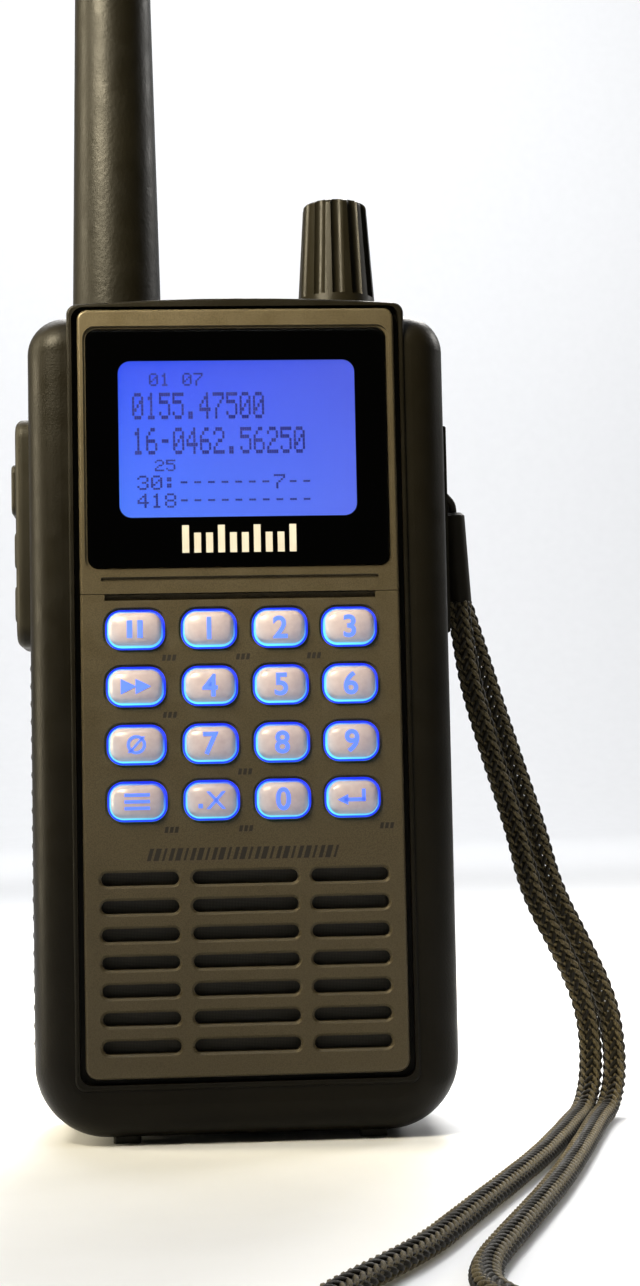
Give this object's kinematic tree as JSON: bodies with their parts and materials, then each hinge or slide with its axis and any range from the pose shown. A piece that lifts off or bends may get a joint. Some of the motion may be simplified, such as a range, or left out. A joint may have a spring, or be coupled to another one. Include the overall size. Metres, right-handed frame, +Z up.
{
  "type": "handheld radio scanner",
  "caption": "Handheld scanning receiver with a backlit display, a number keypad, a speaker grille, a screw-on antenna, a push-and-turn volume knob, a belt clip and a wrist strap.",
  "frame": {"origin": "on the surface it stands on, under the middle of the box of the receiver without its wrist strap", "axes": "+Z up towards the antenna, the display faces -Y, +X to the right of a person who faces the display"},
  "size_m": [0.0917, 0.1643, 0.297],
  "materials": {
    "black_shell": "fine moulded texture",
    "bronze_panel": "satin bronze metallic paint",
    "clear_lens": "clear polished acrylic with a black border printed behind",
    "black_mask": "black",
    "lcd": "backlit liquid crystal",
    "lcd_light": "white light guide",
    "dark_rubber": "matte",
    "steel": "plated",
    "board": "green solder mask",
    "tin": "tinned",
    "paper_cone": "black cone",
    "cloth": "black acoustic cloth",
    "brass": "turned",
    "antenna_rubber": "matte moulded rubber",
    "knob_plastic": "satin",
    "cell_jacket": "printed sleeve",
    "strap_fabric": "braided cord",
    "sleeve_plastic": "satin",
    "key_cap": "silver top over a translucent cap, lit blue"
  },
  "bodies": {
    "case": {"antenna_socket": "brass", "battery_cells": "cell_jacket", "battery_contacts": "steel", "battery_springs": "steel", "case_screws": "steel", "clip_base": "black_shell", "clip_pin": "steel", "clip_spring": "steel", "data_jack": "black_mask", "dc_jack": "black_mask", "display_bezel": "bronze_panel", "display_lens": "clear_lens", "display_mask": "black_mask", "encoder_body": "steel", "front_board": "board", "front_shell": "black_shell", "headphone_jack": "black_mask", "keypad_mat": "dark_rubber", "keypad_panel": "bronze_panel", "lcd_backlight": "lcd_light", "lcd_glass": "lcd", "main_board": "board", "rear_shell": "black_shell", "rubber_feet": "dark_rubber", "shield_cans": "tin", "side_key_frame": "dark_rubber", "snap_domes": "steel", "speaker_cloth": "cloth", "speaker_cone": "paper_cone", "speaker_frame": "steel", "strap_cord": "strap_fabric", "strap_sleeve": "sleeve_plastic", "strap_string": "strap_fabric"},
    "key_hold": {"key_hold": "key_cap"},
    "key_1": {"key_1": "key_cap"},
    "key_2": {"key_2": "key_cap"},
    "key_3": {"key_3": "key_cap"},
    "key_scan": {"key_scan": "key_cap"},
    "key_4": {"key_4": "key_cap"},
    "key_5": {"key_5": "key_cap"},
    "key_6": {"key_6": "key_cap"},
    "key_lockout": {"key_lockout": "key_cap"},
    "key_7": {"key_7": "key_cap"},
    "key_8": {"key_8": "key_cap"},
    "key_9": {"key_9": "key_cap"},
    "key_menu": {"key_menu": "key_cap"},
    "key_no": {"key_no": "key_cap"},
    "key_0": {"key_0": "key_cap"},
    "key_enter": {"key_enter": "key_cap"},
    "side_key_function": {"side_key_function": "dark_rubber"},
    "side_key_menu": {"side_key_menu": "dark_rubber"},
    "side_key_light": {"side_key_light": "dark_rubber"},
    "knob_press": {"encoder_plunger": "steel"},
    "knob": {"volume_knob": "knob_plastic", "encoder_shaft": "steel"},
    "antenna_nut": {"antenna_ferrule": "brass"},
    "antenna": {"antenna_sheath": "antenna_rubber"},
    "battery_door": {"battery_door": "black_shell"},
    "belt_clip": {"belt_clip": "black_shell"},
    "jack_cover": {"jack_cover": "dark_rubber"}
  },
  "joints": [
    {"name": "key_hold_press", "type": "slide", "parent": "case", "child": "key_hold", "axis": [0, 1, 0], "range_m": [0, 0.0007], "stiffness_N_per_m": 1500, "springref_m": -0.0002},
    {"name": "key_1_press", "type": "slide", "parent": "case", "child": "key_1", "axis": [0, 1, 0], "range_m": [0, 0.0007], "stiffness_N_per_m": 1500, "springref_m": -0.0002},
    {"name": "key_2_press", "type": "slide", "parent": "case", "child": "key_2", "axis": [0, 1, 0], "range_m": [0, 0.0007], "stiffness_N_per_m": 1500, "springref_m": -0.0002},
    {"name": "key_3_press", "type": "slide", "parent": "case", "child": "key_3", "axis": [0, 1, 0], "range_m": [0, 0.0007], "stiffness_N_per_m": 1500, "springref_m": -0.0002},
    {"name": "key_scan_press", "type": "slide", "parent": "case", "child": "key_scan", "axis": [0, 1, 0], "range_m": [0, 0.0007], "stiffness_N_per_m": 1500, "springref_m": -0.0002},
    {"name": "key_4_press", "type": "slide", "parent": "case", "child": "key_4", "axis": [0, 1, 0], "range_m": [0, 0.0007], "stiffness_N_per_m": 1500, "springref_m": -0.0002},
    {"name": "key_5_press", "type": "slide", "parent": "case", "child": "key_5", "axis": [0, 1, 0], "range_m": [0, 0.0007], "stiffness_N_per_m": 1500, "springref_m": -0.0002},
    {"name": "key_6_press", "type": "slide", "parent": "case", "child": "key_6", "axis": [0, 1, 0], "range_m": [0, 0.0007], "stiffness_N_per_m": 1500, "springref_m": -0.0002},
    {"name": "key_lockout_press", "type": "slide", "parent": "case", "child": "key_lockout", "axis": [0, 1, 0], "range_m": [0, 0.0007], "stiffness_N_per_m": 1500, "springref_m": -0.0002},
    {"name": "key_7_press", "type": "slide", "parent": "case", "child": "key_7", "axis": [0, 1, 0], "range_m": [0, 0.0007], "stiffness_N_per_m": 1500, "springref_m": -0.0002},
    {"name": "key_8_press", "type": "slide", "parent": "case", "child": "key_8", "axis": [0, 1, 0], "range_m": [0, 0.0007], "stiffness_N_per_m": 1500, "springref_m": -0.0002},
    {"name": "key_9_press", "type": "slide", "parent": "case", "child": "key_9", "axis": [0, 1, 0], "range_m": [0, 0.0007], "stiffness_N_per_m": 1500, "springref_m": -0.0002},
    {"name": "key_menu_press", "type": "slide", "parent": "case", "child": "key_menu", "axis": [0, 1, 0], "range_m": [0, 0.0007], "stiffness_N_per_m": 1500, "springref_m": -0.0002},
    {"name": "key_no_press", "type": "slide", "parent": "case", "child": "key_no", "axis": [0, 1, 0], "range_m": [0, 0.0007], "stiffness_N_per_m": 1500, "springref_m": -0.0002},
    {"name": "key_0_press", "type": "slide", "parent": "case", "child": "key_0", "axis": [0, 1, 0], "range_m": [0, 0.0007], "stiffness_N_per_m": 1500, "springref_m": -0.0002},
    {"name": "key_enter_press", "type": "slide", "parent": "case", "child": "key_enter", "axis": [0, 1, 0], "range_m": [0, 0.0007], "stiffness_N_per_m": 1500, "springref_m": -0.0002},
    {"name": "side_function_press", "type": "slide", "parent": "case", "child": "side_key_function", "axis": [1, 0, 0], "range_m": [0, 0.0004], "stiffness_N_per_m": 2000, "springref_m": -0.0002},
    {"name": "side_menu_press", "type": "slide", "parent": "case", "child": "side_key_menu", "axis": [1, 0, 0], "range_m": [0, 0.0004], "stiffness_N_per_m": 2000, "springref_m": -0.0002},
    {"name": "side_light_press", "type": "slide", "parent": "case", "child": "side_key_light", "axis": [1, 0, 0], "range_m": [0, 0.0004], "stiffness_N_per_m": 2000, "springref_m": -0.0002},
    {"name": "knob_press", "type": "slide", "parent": "case", "child": "knob_press", "axis": [0, 0, -1], "range_m": [0, 0.0005], "stiffness_N_per_m": 3000, "springref_m": -0.0002},
    {"name": "knob_turn", "type": "hinge", "parent": "knob_press", "child": "knob", "pos_m": [0.0158, -0.005, 0.1223], "axis": [0, 0, 1], "continuous": true},
    {"name": "antenna_lift", "type": "slide", "parent": "case", "child": "antenna_nut", "axis": [0, 0, 1], "range_m": [0, 0.00317]},
    {"name": "antenna_turn", "type": "hinge", "parent": "antenna_nut", "child": "antenna", "pos_m": [-0.0177, -0.005, 0.122], "axis": [0, 0, 1], "range_deg": [0, 1620]},
    {"name": "battery_door_slide", "type": "slide", "parent": "case", "child": "battery_door", "axis": [0, 0, -1], "range_m": [0, 0.004]},
    {"name": "belt_clip_squeeze", "type": "hinge", "parent": "case", "child": "belt_clip", "pos_m": [0, 0.0159, 0.086], "axis": [1, 0, 0], "range_deg": [0, 12], "stiffness_Nm_per_rad": 0.6, "springref_deg": -11.46},
    {"name": "jack_cover_swing", "type": "hinge", "parent": "case", "child": "jack_cover", "pos_m": [0.031, -0.0115, 0.0885], "axis": [0, 0, -1], "range_deg": [0, 110]}
  ],
  "couplings": [
    {"joint": "antenna_turn", "follows": "antenna_lift", "rad_per_m": 8899.7}
  ]
}
